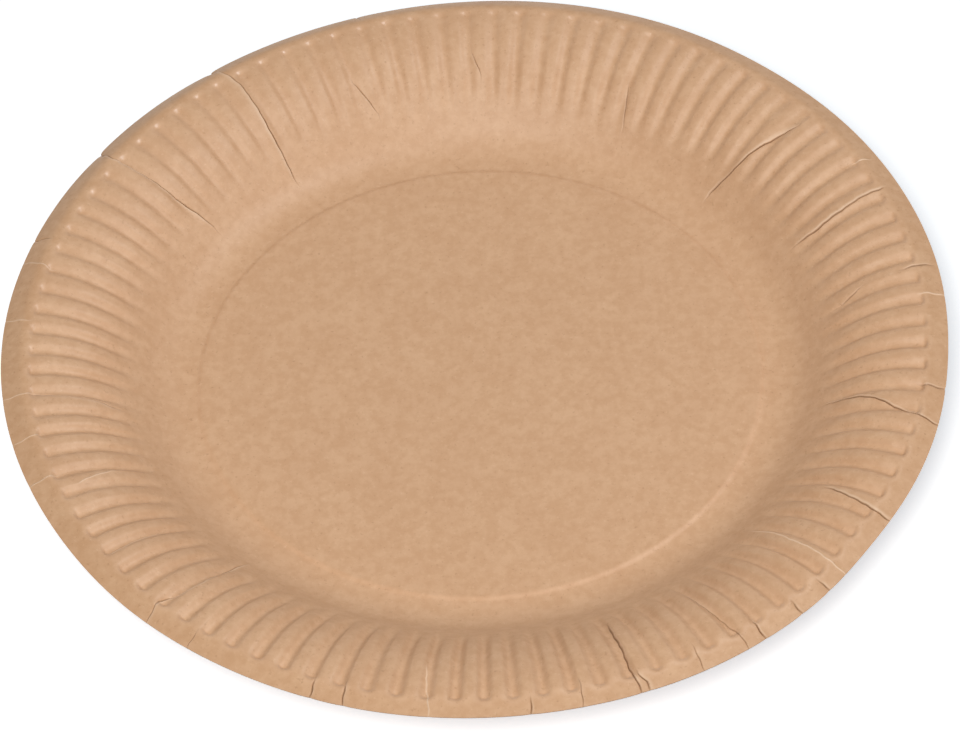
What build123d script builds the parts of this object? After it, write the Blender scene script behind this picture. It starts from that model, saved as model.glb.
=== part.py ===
# Round paper plate with a fluted rim, pressed from one blank of kraft board.
# Millimetres and degrees. +Z is up, and the origin is the middle of the foot, on the table.

import os
from math import atan, cos, degrees, radians, sin

from build123d import *

# Overall sizes
plate_diameter = 230.0
plate_height = 18.0  # from the table to the crown of the rim
sheet = 0.5  # thickness of the board

# Raised middle panel and the foot ring around it
panel_diameter = 136.0
panel_rise = 0.7  # how far the panel stands above the foot ring
step_run = 1.2  # level distance from the panel's edge to the foot ring
foot_width = 1.6  # flat ring that the plate stands on

# Wall, crown and lip, which run into each other: an arc, a straight slope and two more arcs
wall_bend = 15.0  # radius at the bottom of the wall, on its upper face
wall_steepness = 1.6  # slope of the wall's straight part as a multiple of its mean slope, under 2
lip_width = 5.8  # plain band outside the flutes
lip_turn = 32.0  # how far the lip's edge is turned down

# Flutes pressed into the crown, each a fold between two sharp crests
flute_count = 100
flute_depth = 0.8
flute_end = 1.6  # length of the slope that closes a flute at the lip
crest_shares = (0.0, 1.0)  # of the pitch, where its crests are
bed_share = 0.5  # of the pitch, where a flute is deepest
flat_shares = (0.0, 0.0, 0.0)  # of the flute's depth, along an arc that isn't pressed
press_shares = (0.0, 0.75, 1.0)  # along a flute's bed, from the wall outwards

# Places that follow from these sizes
panel_radius = panel_diameter / 2
foot_inner = panel_radius + step_run
foot_outer = foot_inner + foot_width
crown_place = plate_diameter / 2 - lip_width  # radius at which the rim is highest
rim_run = crown_place - foot_outer
rim_rise = plate_height - sheet
wall_slope = wall_steepness * degrees(atan(rim_rise / rim_run))
slope_sine = sin(radians(wall_slope))
slope_cosine = cos(radians(wall_slope))
bend_sum = (rim_run * slope_sine - rim_rise * slope_cosine) / (1 - slope_cosine)  # both arcs' radii
crown_bend = bend_sum - wall_bend
lip_bend = lip_width / sin(radians(lip_turn))
end_slope = degrees(flute_end / crown_bend)  # turn of the crown's arc along a flute's closed end
pitch = 360 / flute_count

# Centres of the section's arcs, as radius and height
wall_centre = Vector(foot_outer, sheet + wall_bend)
crown_centre = Vector(crown_place, plate_height - crown_bend)
lip_centre = Vector(crown_place, plate_height - lip_bend)


# An arc of the rim's section, stood up at its place across one pitch and drawn in where it is pressed.
def rim_arc(place_share, centre, bend, start, end, depth_shares=flat_shares):
    left_way = Axis.X.direction
    right_way = left_way.rotate(Axis.Z, pitch)
    way_out = left_way + (right_way - left_way) * place_share
    points = []
    for turn, depth_share in zip((start, (start + end) / 2, end), depth_shares):
        point = centre + Axis.X.direction.rotate(Axis.Z, turn) * (bend - flute_depth * depth_share)
        points.append(way_out * point.X + Vector(0, 0, point.Y))
    return Edge.make_three_point_arc(*points)


# Skin of one pitch of the rim on one face of the board: wall, slope, flute, its closed end and the lip.
def pitch_skin(drop):
    crown_slope = 90 + wall_slope
    walls = [rim_arc(share, wall_centre, wall_bend + drop, -90, wall_slope - 90) for share in crest_shares]
    crests = [rim_arc(share, crown_centre, crown_bend - drop, crown_slope, 90) for share in crest_shares]
    slopes = [Edge.make_line(wall @ 1, crest @ 0) for wall, crest in zip(walls, crests)]
    bed = rim_arc(bed_share, crown_centre, crown_bend - drop, crown_slope, 90 + end_slope, press_shares)
    lips = [rim_arc(share, lip_centre, lip_bend - drop, 90, 90 - lip_turn) for share in crest_shares]
    strips = [
        Face.make_surface_from_curves(*walls),
        Face.make_surface_from_curves(*slopes),
        Face.make_surface_from_curves(crests[0], bed),
        Face.make_surface_from_curves(bed, crests[1]),
        Face(Wire.make_polygon([crests[0] @ 1, bed @ 1, crests[1] @ 1])),
        Face.make_surface_from_curves(*lips),
    ]
    return strips, Edge.make_line(lips[0] @ 1, lips[1] @ 1)


# Middle of the plate: the panel, its step and the foot ring, which has a side for each flute
with BuildPart() as middle:
    with BuildSketch(Plane.XZ):
        with BuildLine():
            Polyline(
                (0, panel_rise + sheet),
                (panel_radius, panel_rise + sheet),
                (foot_inner, sheet),
                (foot_outer, sheet),
                (foot_outer, 0),
                (foot_inner, 0),
                (panel_radius, panel_rise),
                (0, panel_rise),
                close=True,
            )
        make_face()
    revolve(axis=Axis.Z)
    with BuildSketch():
        RegularPolygon(foot_outer, flute_count)
    extrude(amount=panel_rise + sheet, mode=Mode.INTERSECT)

# Rim: one pitch of upper skin, lower skin and cut edge, repeated around the plate
upper_skin, upper_edge = pitch_skin(0)
lower_skin, lower_edge = pitch_skin(sheet)
pitch_faces = [*upper_skin, *lower_skin, Face.make_surface_from_curves(upper_edge, lower_edge)]
rim_faces = [face.rotate(Axis.Z, pitch * number) for number in range(flute_count) for face in pitch_faces]

# The whole sheet, with the rim in place of the foot ring's cut sides
middle_faces = middle.faces().filter_by(Axis.Z) + middle.faces().filter_by(GeomType.CONE)
with BuildPart() as plate:
    add(Solid(Shell(middle_faces + rim_faces)))
plate.part.label = "plate"

os.makedirs("parts", exist_ok=True)
export_step(plate.part, "parts/plate.step")
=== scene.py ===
import math
import random

import bpy
import numpy as np
from mathutils import Matrix, Vector


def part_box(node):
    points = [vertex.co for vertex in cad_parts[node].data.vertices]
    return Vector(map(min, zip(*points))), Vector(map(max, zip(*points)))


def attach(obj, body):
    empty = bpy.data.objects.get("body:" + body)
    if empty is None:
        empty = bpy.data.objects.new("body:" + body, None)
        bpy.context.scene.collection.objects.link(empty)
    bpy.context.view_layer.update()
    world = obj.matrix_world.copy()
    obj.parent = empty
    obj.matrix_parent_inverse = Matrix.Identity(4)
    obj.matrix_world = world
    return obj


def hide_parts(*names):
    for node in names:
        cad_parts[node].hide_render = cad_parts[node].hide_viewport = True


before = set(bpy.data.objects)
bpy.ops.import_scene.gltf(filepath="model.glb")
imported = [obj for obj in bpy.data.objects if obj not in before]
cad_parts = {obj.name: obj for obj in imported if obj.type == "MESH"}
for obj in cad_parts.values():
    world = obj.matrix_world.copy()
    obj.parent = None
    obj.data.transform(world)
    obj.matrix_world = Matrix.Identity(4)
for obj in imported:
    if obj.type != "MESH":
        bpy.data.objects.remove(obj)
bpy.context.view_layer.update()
mm = 0.001
print("frame loaded:", sorted(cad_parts))


# sRGB hex to the linear colour that shaders take
def hexColour(text):
    channels = [int(text[place:place + 2], 16) / 255 for place in (1, 3, 5)]
    linear = [value / 12.92 if value <= 0.04045 else ((value + 0.055) / 1.055) ** 2.4 for value in channels]
    return (*linear, 1.0)


# one node: settings go to its own sockets or properties, links come from other nodes' outputs
def addNode(tree, kind, settings=None, links=None):
    node = tree.nodes.new(kind)
    for name, value in (settings or {}).items():
        if isinstance(name, str) and hasattr(node, name):
            setattr(node, name, value)
        else:
            node.inputs[name].default_value = value
    for name, source in (links or {}).items():
        tree.links.new(source, node.inputs[name])
    return node


def newMaterial(name):
    material = bpy.data.materials.new(name)
    material.use_nodes = True
    material.node_tree.nodes.clear()
    return material, material.node_tree


# 0 at low, 1 at high, eased at both
def ease(value, low, high):
    share = np.clip((value - low) / (high - low), 0, 1)
    return share * share * (3 - 2 * share)


# Kraft paperboard, pressed and lightly calendered: matt brown with cloudy fibre, dark specks,
# pale fibres and a soft sheen that whitens slopes turned to a lamp
kraftLook = {
    "paper": "#C7A07E",
    "layers": (  # sizes in mm, the noise's limits, how much colour it brings and which
        {"size": 14.0, "detail": 4, "limits": (0.35, 0.65), "share": 0.5, "colour": "#D1AC8A"},  # clouds
        {"size": 2.4, "detail": 5, "limits": (0.38, 0.62), "share": 0.5, "colour": "#BA906B"},  # mottle
        {"size": 0.9, "detail": 2, "limits": (0.62, 0.74), "share": 0.45, "colour": "#A37955"},  # specks
        {"size": 0.8, "detail": 3, "limits": (0.60, 0.74), "share": 0.35, "colour": "#DABA9B"},  # fibres
    ),
    "marks": (  # painted along the folds: layer of the mesh, share and colour
        {"layer": "creaseWear", "share": 0.75, "colour": "#EBD3B9"},  # surface broken by the fold
        {"layer": "creasePaintedShade", "share": 0.85, "colour": "#6E4D35"},  # painted shade down the fold's groove
        {"layer": "cutEdge", "share": 0.6, "colour": "#EADCCB"},  # pale core of the board at its edge
    ),
    "noiseRoughness": 0.6,
    "grainSize": 0.5,  # mm, tooth of the paper
    "grainDetail": 4,
    "grainHeight": 0.03,  # mm
    "grainStrength": 0.6,
    "roughness": 0.5,
    "endRoughness": 0.28,  # at the closed ends of the flutes, where the die rubs
    "specular": 0.55,
    "lipSpecular": 0.25,  # the lip isn't pressed, so it has less sheen
}


def kraftBoard(look):
    material, tree = newMaterial("kraft paperboard, pressed")
    place = addNode(tree, "ShaderNodeTexCoord").outputs["Object"]
    base = addNode(tree, "ShaderNodeRGB")
    base.outputs[0].default_value = hexColour(look["paper"])
    colour = base.outputs[0]
    for layer in look["layers"]:
        noise = addNode(tree, "ShaderNodeTexNoise",
                        {"Scale": 1 / (layer["size"] * mm), "Detail": layer["detail"],
                         "Roughness": look["noiseRoughness"]}, {"Vector": place})
        low, high = layer["limits"]
        share = addNode(tree, "ShaderNodeMapRange",
                        {"From Min": low, "From Max": high, "To Max": layer["share"]},
                        {"Value": noise.outputs["Fac"]})
        colour = addNode(tree, "ShaderNodeMix",
                         {"data_type": "RGBA", 7: hexColour(layer["colour"])},  # 6 and 7 are its colours
                         {0: share.outputs["Result"], 6: colour}).outputs[2]
    for mark in look["marks"]:
        paint = addNode(tree, "ShaderNodeAttribute", {"attribute_name": mark["layer"]})
        share = addNode(tree, "ShaderNodeMapRange", {"To Max": mark["share"]},
                        {"Value": paint.outputs["Fac"]})
        colour = addNode(tree, "ShaderNodeMix", {"data_type": "RGBA", 7: hexColour(mark["colour"])},
                         {0: share.outputs["Result"], 6: colour}).outputs[2]
    grain = addNode(tree, "ShaderNodeTexNoise",
                    {"Scale": 1 / (look["grainSize"] * mm), "Detail": look["grainDetail"],
                     "Roughness": look["noiseRoughness"]}, {"Vector": place})
    bump = addNode(tree, "ShaderNodeBump",
                   {"Strength": look["grainStrength"], "Distance": look["grainHeight"] * mm},
                   {"Height": grain.outputs["Fac"]})
    rubbed = addNode(tree, "ShaderNodeAttribute", {"attribute_name": "rubbed"})
    roughness = addNode(tree, "ShaderNodeMapRange",
                        {"To Min": look["roughness"], "To Max": look["endRoughness"]},
                        {"Value": rubbed.outputs["Fac"]})
    unpressed = addNode(tree, "ShaderNodeAttribute", {"attribute_name": "unpressed"})
    specular = addNode(tree, "ShaderNodeMapRange",
                       {"To Min": look["specular"], "To Max": look["lipSpecular"]},
                       {"Value": unpressed.outputs["Fac"]})
    shader = addNode(tree, "ShaderNodeBsdfPrincipled", None,
                     {"Base Color": colour, "Roughness": roughness.outputs["Result"],
                      "Specular IOR Level": specular.outputs["Result"], "Normal": bump.outputs["Normal"]})
    addNode(tree, "ShaderNodeOutputMaterial", None, {"Surface": shader.outputs["BSDF"]})
    return material


# Plate: one sheet, millimetres and degrees, angles counter-clockwise from +X
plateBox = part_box("plate")
plateShape = {
    "outerRadius": plateBox[1].x / mm,
    "rimHeight": plateBox[1].z / mm,
    "sheet": 0.5,
    "panelRadius": 68.1,
    "panelRise": 0.4,
    "stepRun": 1.3,
    "footWidth": 1.4,
    "wallBend": 15.0,
    "wallSteepness": 1.6,  # slope of the wall's straight part as a multiple of its mean slope
    "lipWidth": 5.8,
    "lipTurn": 18.4,
    "lipBendRun": 1.6,  # level distance over which the lip turns down; outside it the lip is flat
    "fluteCount": 100,
    "fluteTurn": 0.36,  # from +X to the first crest
    "fluteDrift": (  # angle, and how far the flutes stray there as a share of the pitch
        (0, -0.38), (36, -0.09), (72, 0.02), (108, 0.15), (153, 0.16),
        (198, 0.0), (243, 0.07), (261, 0.03), (288, -0.33), (324, -0.58),
    ),
    "fluteDepth": 0.98,
    "deepSide": 283.0,  # where the flutes are deepest
    "deepSpread": 0.3,  # by how much, as a share
    "fluteStart": (82.0, 92.0),  # radius at which a flute begins, and at which it is full
    "fluteEnd": (108.3, 109.9),  # its closed end at the lip
    "endOval": 0.4,  # the ends stand this much further out at the back and front than at the sides
    "endShift": 1.5,  # and all of them are pressed this far off the middle
    "endSide": 292.0,  # towards this side
    "endRound": 5.0,  # how far the closed end bows
    "mattRun": 1.0,  # beyond the ends, over which the pressed sheen fades
    "crestShare": 0.28,  # of the pitch, left standing between two flutes
    "flankShare": 0.34,  # of the pitch, each side of a flute
    "depthSpread": 0.12,  # flutes differ by this share in depth
    "turnSpread": 0.04,  # and by this share of the pitch in place
    "topColumns": (0.0, 0.14, 0.22, 0.31, 0.4, 0.5, 0.6, 0.69, 0.78, 0.86),  # shares of the pitch
    "bottomColumns": (0.0, 0.2, 0.4, 0.6, 0.8),
    "topRows": (  # radius at which a span of rows ends, and their count
        (66.4, 1), (70.0, 8), (71.0, 1), (86.0, 11), (105.6, 15), (112.4, 20), (114.8, 4), (115.0, 1),
    ),
    "bottomRows": ((66.4, 1), (70.0, 4), (71.0, 1), (86.0, 5), (106.0, 6), (112.0, 5), (115.0, 2)),
    "panelRings": (  # share of the panel's radius, and points on the ring
        (0.96, 160), (0.88, 160), (0.76, 160), (0.62, 160), (0.48, 160), (0.34, 160), (0.2, 40), (0.08, 40),
    ),
    "sharpAngle": 50.0,
    "seed": 7,
}

# how a fold in the rim shows: its groove (a ridge if below zero) and width, the step across it, how far
# the lip's edge draws in at it and beside it, how much shade is painted into its groove and how worn the
# fold and its side are
creaseKinds = {
    "slit": {"depth": 0.30, "width": 0.15, "step": 0.08, "notch": 0.3, "setback": 0.0,
             "grooveShade": 0.85, "worn": 0.0, "side": 0.45},
    "tear": {"depth": 0.35, "width": 0.15, "step": 0.35, "notch": 0.9, "setback": 0.6,
             "grooveShade": 0.8, "worn": 0.0, "side": 0.5},
    "fold": {"depth": 0.25, "width": 0.14, "step": 0.18, "notch": 0.0, "setback": 0.0,
             "grooveShade": 0.7, "worn": 0.0, "side": 0.6},
    "hair": {"depth": 0.15, "width": 0.11, "step": 0.06, "notch": 0.0, "setback": 0.0,
             "grooveShade": 0.6, "worn": 0.0, "side": 0.2},
    "pale": {"depth": -0.08, "width": 0.15, "step": 0.08, "notch": 0.1, "setback": 0.0,
             "grooveShade": 0.0, "worn": 0.9, "side": 0.0},
}
creaseShape = {
    "columns": (-2.2, -1.0, -0.3, 0.3, 1.0, 2.2),  # beside each fold, in widths
    "reach": 4.0,  # degrees, how far columns lean along a fold
    "fadeIn": 2.0,  # mm
    "fadeOut": 1.5,
    "stepReach": 3.0,  # mm beside the fold
    "notchReach": 0.6,
    "setbackReach": 6.0,
    "edgeBand": 4.0,  # mm of lip that a notch or setback draws in
    "sidePlace": 2.0,  # widths from the fold
    "waver": 0.05,  # degrees
    "waverTurns": (0.6, 1.7),  # radians per mm
}

# each fold: its kind, then the points that it passes, as radius and angle
rimCreases = (
    ("hair", (89, 4.8), (95, 6.0)),
    ("slit", (106, 6.4), (113, 6.9)),
    ("pale", (109, 1.9), (115, 1.8)),
    ("fold", (86, 20.9), (91, 20.3), (97, 20.5), (105, 20.8), (110, 20.9)),
    ("pale", (108, 26.8), (112, 26.3)),
    ("fold", (80, 41.6), (88, 40.0), (93, 39.0), (98, 37.9), (104, 36.9)),
    ("hair", (85, 62.0), (93, 63.5)),
    ("hair", (91, 87.0), (96, 88.4)),
    ("slit", (112, 103.1), (115, 103.1)),
    ("hair", (86, 104.7), (94, 107.3)),
    ("tear", (80, 123.1), (103, 122.5), (115, 123.8)),
    ("tear", (82, 141.6), (89, 142.9), (109, 144.0), (115, 143.1)),
    ("slit", (111, 159.5), (115, 159.5)),
    ("pale", (107, 164.5), (115, 163.4)),
    ("pale", (109, 173.8), (115, 173.2)),
    ("slit", (89, 187.7), (93, 187.1), (101, 186.7), (107, 186.2)),
    ("pale", (108, 186.1), (115, 185.9)),
    ("pale", (108, 193.0), (115, 193.3)),
    ("pale", (108, 200.2), (115, 200.2)),
    ("pale", (95, 201.4), (104, 202.7)),
    ("pale", (94, 214.7), (109, 215.2)),
    ("fold", (82, 225.0), (97, 226.5), (104, 226.1), (109, 224.9), (115, 225.8)),
    ("hair", (111, 231.8), (115, 231.9)),
    ("slit", (111, 247.9), (115, 248.0)),
    ("slit", (110, 251.7), (115, 251.9)),
    ("pale", (101, 260.8), (115, 261.9)),
    ("slit", (112, 273.6), (115, 273.5)),
    ("hair", (109, 279.7), (115, 279.4)),
    ("slit", (92, 286.3), (110, 286.0), (115, 286.3)),
    ("slit", (110.5, 286.5), (113, 287.2), (115, 287.3)),
    ("hair", (109, 294.1), (115, 294.0)),
    ("hair", (90, 299.0), (101, 299.2), (110, 299.8), (115, 299.9)),
    ("slit", (110, 302.3), (115, 302.2)),
    ("slit", (112, 307.8), (115, 307.8)),
    ("slit", (112, 312.2), (115, 312.5)),
    ("pale", (86, 316.1), (98, 315.4), (115, 315.3)),
    ("fold", (96, 326.2), (109, 325.0), (115, 325.0)),
    ("fold", (86, 345.4), (94, 344.6), (100, 343.3), (107, 341.7), (115, 340.9)),
    ("slit", (109, 346.5), (115, 346.6)),
)

# slow bends of the rim: angle of the middle and half width, then outwards and down at the edge in mm,
# and the radius from which the bend starts
rimWarps = (
    (15, 34, -1.5, 0.0, 68.0),
    (352, 12, -0.9, 0.0, 68.0),
    (331, 14, -0.9, 0.0, 68.0),
    (320, 8, -0.7, 0.0, 68.0),
    (48, 14, -0.6, 0.0, 68.0),
    (80, 45, 0.9, 0.0, 68.0),
    (112, 60, 0.2, 2.3, 108.5),
    (175, 16, 0.3, 0.0, 68.0),
    (208, 14, -0.5, 0.0, 68.0),
    (235, 14, -0.4, 0.0, 68.0),
    (293, 14, 0.4, 0.0, 68.0),
)


# height and slope of the sheet's upper face at each radius, before flutes and folds
def sectionAt(shape, radius):
    sheet, rimHeight, wallBend = shape["sheet"], shape["rimHeight"], shape["wallBend"]
    footInner = shape["panelRadius"] + shape["stepRun"]
    footOuter = footInner + shape["footWidth"]
    crownPlace = shape["outerRadius"] - shape["lipWidth"]
    run, rise = crownPlace - footOuter, rimHeight - sheet
    steepest = shape["wallSteepness"] * math.atan(rise / run)
    sine, cosine = math.sin(steepest), math.cos(steepest)
    crownBend = (run * sine - rise * cosine) / (1 - cosine) - wallBend
    wallEnd, crownStart = footOuter + wallBend * sine, crownPlace - crownBend * sine
    lipTurn, lipBendRun = math.radians(shape["lipTurn"]), shape["lipBendRun"]
    lipBend = lipBendRun / math.sin(lipTurn)
    wallSlope = np.arcsin(np.clip((radius - footOuter) / wallBend, 0, 1))
    crownSlope = np.arcsin(np.clip((crownPlace - radius) / crownBend, 0, 1))
    lipSlope = np.arcsin(np.clip((radius - crownPlace) / lipBend, 0, math.sin(lipTurn)))
    lipFall = np.clip(radius - crownPlace - lipBendRun, 0, None) * math.tan(lipTurn)
    level = np.zeros_like(radius)
    inside = [radius < footOuter, radius < wallEnd, radius < crownStart, radius < crownPlace]
    heights = [sheet + shape["panelRise"] * (1 - ease(radius, shape["panelRadius"], footInner)),
               sheet + wallBend * (1 - np.cos(wallSlope)),
               sheet + wallBend * (1 - cosine) + (radius - wallEnd) * math.tan(steepest),
               rimHeight - crownBend * (1 - np.cos(crownSlope))]
    height = np.select(inside, heights, rimHeight - lipBend * (1 - np.cos(lipSlope)) - lipFall)
    return height, np.select(inside, [level, wallSlope, level + steepest, crownSlope], -lipSlope)


# radii of the mesh's rows, from the panel outwards
def rowRadii(spans):
    radii = []
    for end, count in spans:
        start = radii[-1] if radii else end
        radii.extend(np.linspace(start, end, count + 1)[1:])
    return np.array(radii)


# angle of a fold at each radius; it wavers a little
def creaseAngle(points, radius):
    radii, angles = zip(*points)
    waver = sum(np.sin(turn * radius + angles[0]) for turn in creaseShape["waverTurns"])
    return np.interp(radius, radii, angles) + creaseShape["waver"] * waver


def angleBetween(angle, other):
    return (angle - other + 180) % 360 - 180


# how far the flutes stray around the plate, as a share of the pitch
def fluteStray(shape, angle):
    angles, strays = zip(*shape["fluteDrift"])
    return np.interp(angle, angles, strays, period=360)


# angles of the mesh's columns: a few for each flute, and a close set along each fold
def columnAngles(shape, shares):
    pitch = 360 / shape["fluteCount"]
    angles = [(flute + share) * pitch + shape["fluteTurn"] for flute in range(shape["fluteCount"])
              for share in shares]
    angles = [angle + pitch * fluteStray(shape, angle) for angle in angles]
    for kind, *points in rimCreases:
        middle = np.mean([angle for _, angle in points])
        width = math.degrees(creaseKinds[kind]["width"] / shape["outerRadius"])
        angles += [middle + width * place for place in creaseShape["columns"]]
    return np.unique(np.array(angles) % 360)


# columns lean along the folds near them, so that each fold runs between two columns
def leanColumns(angles, radius):
    reach = creaseShape["reach"]
    folds = [(np.mean([angle for _, angle in points]), points) for _, *points in rimCreases]
    middles = np.array([middle for middle, _ in folds])
    knots = [(middle, creaseAngle(points, radius) - middle) for middle, points in folds]
    for middle in middles:
        for still in (middle - reach, middle + reach):  # straight here, unless another fold is near
            if np.sum(abs(angleBetween(middles, still)) <= reach) <= 1:
                knots.append((still, 0.0))
    places, leans = zip(*knots)
    return angles + np.interp(angles, places, leans, period=360)


# how far a flute presses the sheet in, and where the die rubs its closed end
def flutePress(shape, angle, radius):
    count = shape["fluteCount"]
    draw = random.Random(shape["seed"])
    depths = np.array([1 + draw.uniform(-1, 1) * shape["depthSpread"] for _ in range(count)])
    turns = np.array([draw.uniform(-1, 1) * shape["turnSpread"] for _ in range(count)])
    place = (angle - shape["fluteTurn"]) / (360 / count) - fluteStray(shape, angle)
    flute = np.floor(place).astype(int) % count
    share = place - np.floor(place)
    share = np.clip(share + turns[flute] * np.sin(math.pi * share), 0, 1)
    crest = shape["crestShare"] / 2
    press = ease(np.minimum(share, 1 - share), crest, crest + shape["flankShare"])
    side = np.radians(angle - shape["deepSide"])
    depth = shape["fluteDepth"] * depths[flute] * (1 + shape["deepSpread"] * np.cos(side))
    bowed = radius + shape["endRound"] * (share - 0.5) ** 2
    bowed = bowed + shape["endOval"] * np.cos(2 * np.radians(angle))
    bowed = bowed - shape["endShift"] * np.cos(np.radians(angle - shape["endSide"]))
    closing = ease(bowed, *shape["fluteEnd"])
    rubbed = press * 4 * closing * (1 - closing)  # the 4 brings it to 1 halfway along the closed end
    unpressed = ease(bowed, shape["fluteEnd"][1], shape["fluteEnd"][1] + shape["mattRun"])
    return press * depth * ease(radius, *shape["fluteStart"]) * (1 - closing), rubbed, unpressed


# sheet's upper face at each row and column, with flutes, folds and bends, and the paint that goes with them
def shapedGrid(shape, radii, angles):
    radius = np.repeat(radii[:, None], len(angles), axis=1)
    angle = np.array([leanColumns(angles, one) for one in radii])
    height, slope = sectionAt(shape, radius)
    press, rubbed, unpressed = flutePress(shape, angle, radius)
    rise, outward = -press, np.zeros_like(radius)
    worn, grooveShade = np.zeros_like(radius), np.zeros_like(radius)
    edge = ease(radius, shape["outerRadius"] - creaseShape["edgeBand"], shape["outerRadius"])
    for kind, *points in rimCreases:
        look = creaseKinds[kind]
        aside = np.radians(angleBetween(angle, creaseAngle(points, radius))) * radius
        start, end = points[0][0], points[-1][0]
        along = ease(radius, start - creaseShape["fadeIn"], start + creaseShape["fadeIn"])
        if end < shape["outerRadius"]:
            along = along * (1 - ease(radius, end - creaseShape["fadeOut"], end + creaseShape["fadeOut"]))
        groove = np.exp(-(aside / look["width"]) ** 2) * along
        beside = np.exp(-(aside / look["width"] - creaseShape["sidePlace"]) ** 2) * along
        step = np.sign(aside) * np.exp(-abs(aside) / creaseShape["stepReach"]) * along
        notch = np.exp(-abs(aside) / creaseShape["notchReach"]) * along
        setback = (aside > 0) * np.exp(-abs(aside) / creaseShape["setbackReach"])
        rise = rise - look["depth"] * groove + look["step"] / 2 * step
        outward = outward - (look["notch"] * notch + look["setback"] * setback) * edge
        worn = worn + look["worn"] * groove + look["side"] * beside
        # painted shade: the groove's colour is darkened, on top of the shading that its shape gets
        grooveShade = grooveShade + look["grooveShade"] * groove
    for middle, width, out, down, start in rimWarps:
        share = np.clip((radius - start) / (shape["outerRadius"] - start), 0, 1)
        bend = np.exp(-(angleBetween(angle, middle) / width) ** 2) * share ** 2
        outward = outward + out * bend
        height = height - down * bend
    radius = radius + outward - np.sin(slope) * rise
    height = height + np.cos(slope) * rise
    cut = np.repeat((radii >= shape["outerRadius"])[:, None], len(angles), axis=1)
    paint = {"creaseWear": worn, "creasePaintedShade": grooveShade, "rubbed": rubbed, "unpressed": unpressed, "cutEdge": cut}
    return radius, height, slope, angle, paint


# faces between two closed rings of points, whatever their counts
def ringFaces(inner, outer, innerAngles, outerAngles):
    faces = []
    place, other = 0, 0
    while place < len(inner) or other < len(outer):
        nextInner = innerAngles[place + 1] if place + 1 < len(inner) else 360 + innerAngles[0]
        nextOuter = outerAngles[other + 1] if other + 1 < len(outer) else 360 + outerAngles[0]
        here, there = inner[place % len(inner)], outer[other % len(outer)]
        if other < len(outer) and (place >= len(inner) or nextOuter <= nextInner):
            faces.append((here, there, outer[(other + 1) % len(outer)]))
            other += 1
        else:
            faces.append((here, there, inner[(place + 1) % len(inner)]))
            place += 1
    return faces


def buildPlate(shape, material):
    points, faces = [], []
    paint = {"creaseWear": [], "creasePaintedShade": [], "rubbed": [], "unpressed": [], "cutEdge": []}

    def addRing(radius, height, angle, marks=None):
        start = len(points)
        turn = np.radians(angle)
        points.extend(zip(radius * np.cos(turn) * mm, radius * np.sin(turn) * mm, height * mm))
        for name in paint:
            paint[name].extend(marks[name] if marks else np.zeros(len(angle)))
        return list(range(start, len(points)))

    def addFaces(made, flip):
        faces.extend([face[::-1] for face in made] if flip else made)

    def addSkin(spans, shares, drop, flip):
        angles = columnAngles(shape, shares)
        count = len(angles)
        radii = rowRadii(spans)
        radius, height, slope, angle, marks = shapedGrid(shape, radii, angles)
        radius = radius + np.sin(slope) * drop
        height = height - np.cos(slope) * drop
        rings = [addRing(radius[row], height[row], angle[row], {name: marks[name][row] for name in marks})
                 for row in range(len(radii))]
        for lower, upper in zip(rings, rings[1:]):
            addFaces([(lower[one], upper[one], upper[(one + 1) % count], lower[(one + 1) % count])
                      for one in range(count)], flip)
        addPanel(rings[0], angles, radii[0], height[0][0], flip)
        print("skin:", count, "columns,", len(radii), "rows")
        return rings[-1], angles

    def addPanel(edge, edgeAngles, edgeRadius, level, flip):
        outer, outerAngles = edge, edgeAngles
        for share, size in shape["panelRings"]:
            turns = np.arange(size) * 360 / size
            inner = addRing(np.full(size, edgeRadius * share), np.full(size, level), turns)
            addFaces(ringFaces(inner, outer, turns, outerAngles), flip)
            outer, outerAngles = inner, turns
        middle = addRing(np.zeros(1), np.full(1, level), np.zeros(1))[0]
        addFaces([(middle, outer[one], outer[(one + 1) % len(outer)]) for one in range(len(outer))], flip)

    top, topAngles = addSkin(shape["topRows"], shape["topColumns"], 0.0, False)
    bottom, bottomAngles = addSkin(shape["bottomRows"], shape["bottomColumns"], shape["sheet"], True)
    addFaces(ringFaces(top, bottom, topAngles, bottomAngles), False)

    mesh = bpy.data.meshes.new("plateSheet")
    mesh.from_pydata(points, [], faces)
    mesh.validate()
    mesh.shade_smooth()
    mesh.set_sharp_from_angle(angle=math.radians(shape["sharpAngle"]))
    for name, values in paint.items():
        layer = mesh.attributes.new(name, "FLOAT", "POINT")
        layer.data.foreach_set("value", np.clip(np.array(values, dtype=np.float32), 0, 1))
    mesh.materials.append(material)
    plate = bpy.data.objects.new("plateSheet", mesh)
    bpy.context.scene.collection.objects.link(plate)
    print("plate sheet:", len(points), "points,", sum(len(face) - 2 for face in faces), "triangles")
    return plate


plateSheet = buildPlate(plateShape, kraftBoard(kraftLook))
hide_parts("plate")
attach(plateSheet, "root")

# Floor and light: a white table in a light tent, a soft lamp in front and a soft box above on the right
studio = {
    "floorSize": 8.0,  # metres
    "floor": "#F7F8FA",
    "sky": "#FFFFFF",
    "skyStrength": 0.13,
    "seenStrength": 1.0,  # white, where the tent itself is seen
    "floorGlow": 0.6,  # only as it is seen, so that the table is white and keeps its shadow
    "glow": "#EFF7FF",
    "lamps": (  # watts, metres, degrees from +X and above the table
        {"name": "frontLamp", "colour": "#FFFAF2", "power": 15.8, "size": 0.7, "distance": 1.6,
         "azimuth": -102.0, "elevation": 55.0, "plateOnly": False},
        {"name": "softBox", "colour": "#FFFFFF", "power": 9.0, "size": 0.5, "distance": 1.5,
         "azimuth": 5.0, "elevation": 62.0, "plateOnly": True},  # the table keeps one shadow
    ),
}


# 1 for rays by which a surface is seen, straight or in a mirror, and 0 for those that light others
def seenRays(tree):
    path = addNode(tree, "ShaderNodeLightPath")
    rays = path.outputs["Is Camera Ray"]
    for kind in ("Is Glossy Ray", "Is Transmission Ray"):
        rays = addNode(tree, "ShaderNodeMath", {"operation": "MAXIMUM"},
                       {0: rays, 1: path.outputs[kind]}).outputs[0]
    return rays


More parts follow.
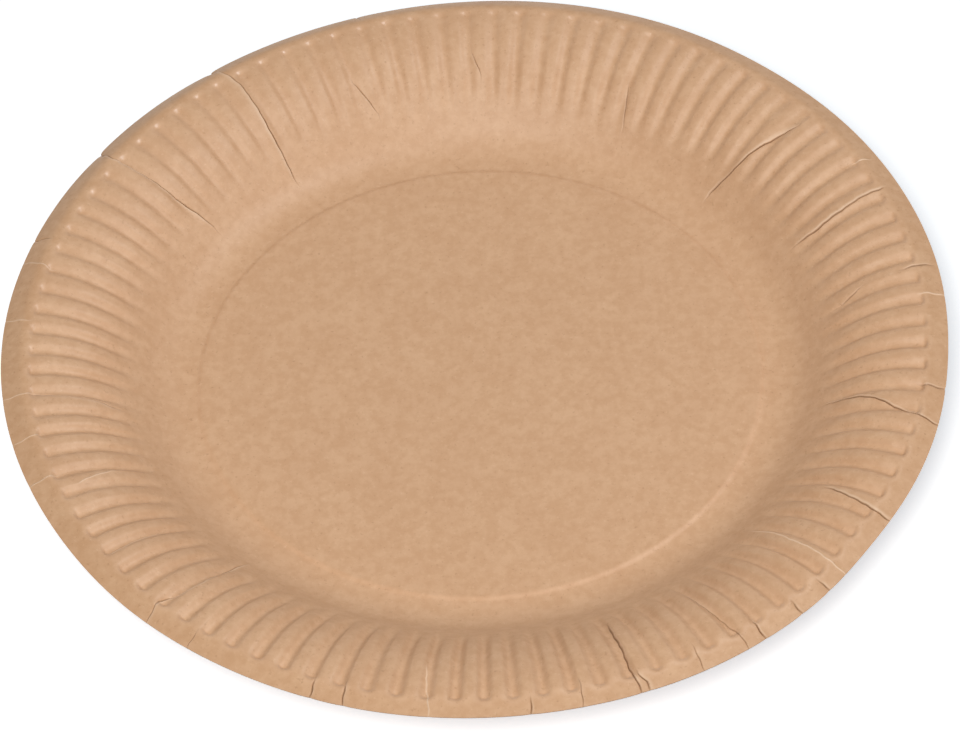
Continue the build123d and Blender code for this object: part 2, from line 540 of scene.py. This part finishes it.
def buildStudio(setup, plate):
    half = setup["floorSize"] / 2
    mesh = bpy.data.meshes.new("studioFloor")
    corners = [(-half, -half, 0), (half, -half, 0), (half, half, 0), (-half, half, 0)]
    mesh.from_pydata(corners, [], [(0, 1, 2, 3)])
    floor = bpy.data.objects.new("studioFloor", mesh)
    bpy.context.scene.collection.objects.link(floor)
    material, tree = newMaterial("white table, painted")  # matt white, with a soft shadow
    seen = addNode(tree, "ShaderNodeMath", {"operation": "MULTIPLY", 1: setup["floorGlow"]},
                   {0: seenRays(tree)})
    matt = addNode(tree, "ShaderNodeBsdfDiffuse", {"Color": hexColour(setup["floor"])})
    glow = addNode(tree, "ShaderNodeEmission", {"Color": hexColour(setup["glow"])},
                   {"Strength": seen.outputs[0]})
    both = addNode(tree, "ShaderNodeAddShader", None, {0: matt.outputs[0], 1: glow.outputs[0]})
    addNode(tree, "ShaderNodeOutputMaterial", None, {"Surface": both.outputs[0]})
    mesh.materials.append(material)

    world = bpy.data.worlds.new("light tent")
    world.use_nodes = True
    bpy.context.scene.world = world
    tree = world.node_tree
    tree.nodes.clear()
    tent = addNode(tree, "ShaderNodeBackground",
                   {"Color": hexColour(setup["sky"]), "Strength": setup["skyStrength"]})
    seen = addNode(tree, "ShaderNodeBackground",
                   {"Color": hexColour(setup["sky"]), "Strength": setup["seenStrength"]})
    both = addNode(tree, "ShaderNodeMixShader", None,
                   {0: seenRays(tree), 1: tent.outputs[0], 2: seen.outputs[0]})
    addNode(tree, "ShaderNodeOutputWorld", None, {"Surface": both.outputs[0]})

    for lamp in setup["lamps"]:
        light = bpy.data.lights.new(lamp["name"], "AREA")
        light.energy = lamp["power"]
        light.color = hexColour(lamp["colour"])[:3]
        light.shape = "DISK"
        light.size = lamp["size"]
        azimuth, elevation = math.radians(lamp["azimuth"]), math.radians(lamp["elevation"])
        way = Vector((math.cos(azimuth) * math.cos(elevation), math.sin(azimuth) * math.cos(elevation),
                      math.sin(elevation)))
        lightObject = bpy.data.objects.new(lamp["name"], light)
        lightObject.location = way * lamp["distance"]
        lightObject.rotation_euler = way.to_track_quat("Z", "Y").to_euler()
        bpy.context.scene.collection.objects.link(lightObject)
        if lamp["plateOnly"]:
            lightObject.light_linking.receiver_collection = bpy.data.collections.new(lamp["name"])
            lightObject.light_linking.receiver_collection.objects.link(plate)
    print("studio: floor, tent and", len(setup["lamps"]), "lamps")


buildStudio(studio, plateSheet)

# Camera: the photograph's viewing angle, found from the lip's outline
cameraRig = {
    "imageSize": (960, 736),  # pixels
    "lipCentre": (477.7, 334.4),  # pixel on which the middle of the lip's circle falls
    "lipLevel": 16.36,  # mm above the table
    "elevation": 48.6,  # degrees
    "distance": 1149.0,  # mm
    "roll": 3.4,  # degrees, the picture's right side lifted
    "lens": 178.6,  # mm
    "sensor": 36.0,  # mm across the picture
}


def buildCamera(rig):
    elevation, roll = math.radians(rig["elevation"]), math.radians(rig["roll"])
    away = Vector((0, -math.cos(elevation), math.sin(elevation)))
    level = Vector((1, 0, 0))
    upright = away.cross(level)
    right = level * math.cos(roll) - upright * math.sin(roll)
    up = upright * math.cos(roll) + level * math.sin(roll)
    width, height = rig["imageSize"]
    pixel = rig["sensor"] / width / rig["lens"]
    aside = (rig["lipCentre"][0] - width / 2) * pixel
    above = (height / 2 - rig["lipCentre"][1]) * pixel
    back = (away + right * aside + up * above).normalized()
    right = up.cross(back).normalized()
    up = back.cross(right)
    data = bpy.data.cameras.new("photoCamera")
    data.lens = rig["lens"]
    data.sensor_width = rig["sensor"]
    data.sensor_fit = "HORIZONTAL"
    camera = bpy.data.objects.new("photoCamera", data)
    place = Vector((0, 0, rig["lipLevel"] * mm)) + away * rig["distance"] * mm
    camera.matrix_world = Matrix.Translation(place) @ Matrix((right, up, back)).transposed().to_4x4()
    bpy.context.scene.collection.objects.link(camera)
    bpy.context.scene.camera = camera
    print("camera placed")


buildCamera(cameraRig)
bpy.context.scene.view_settings.view_transform = "Standard"
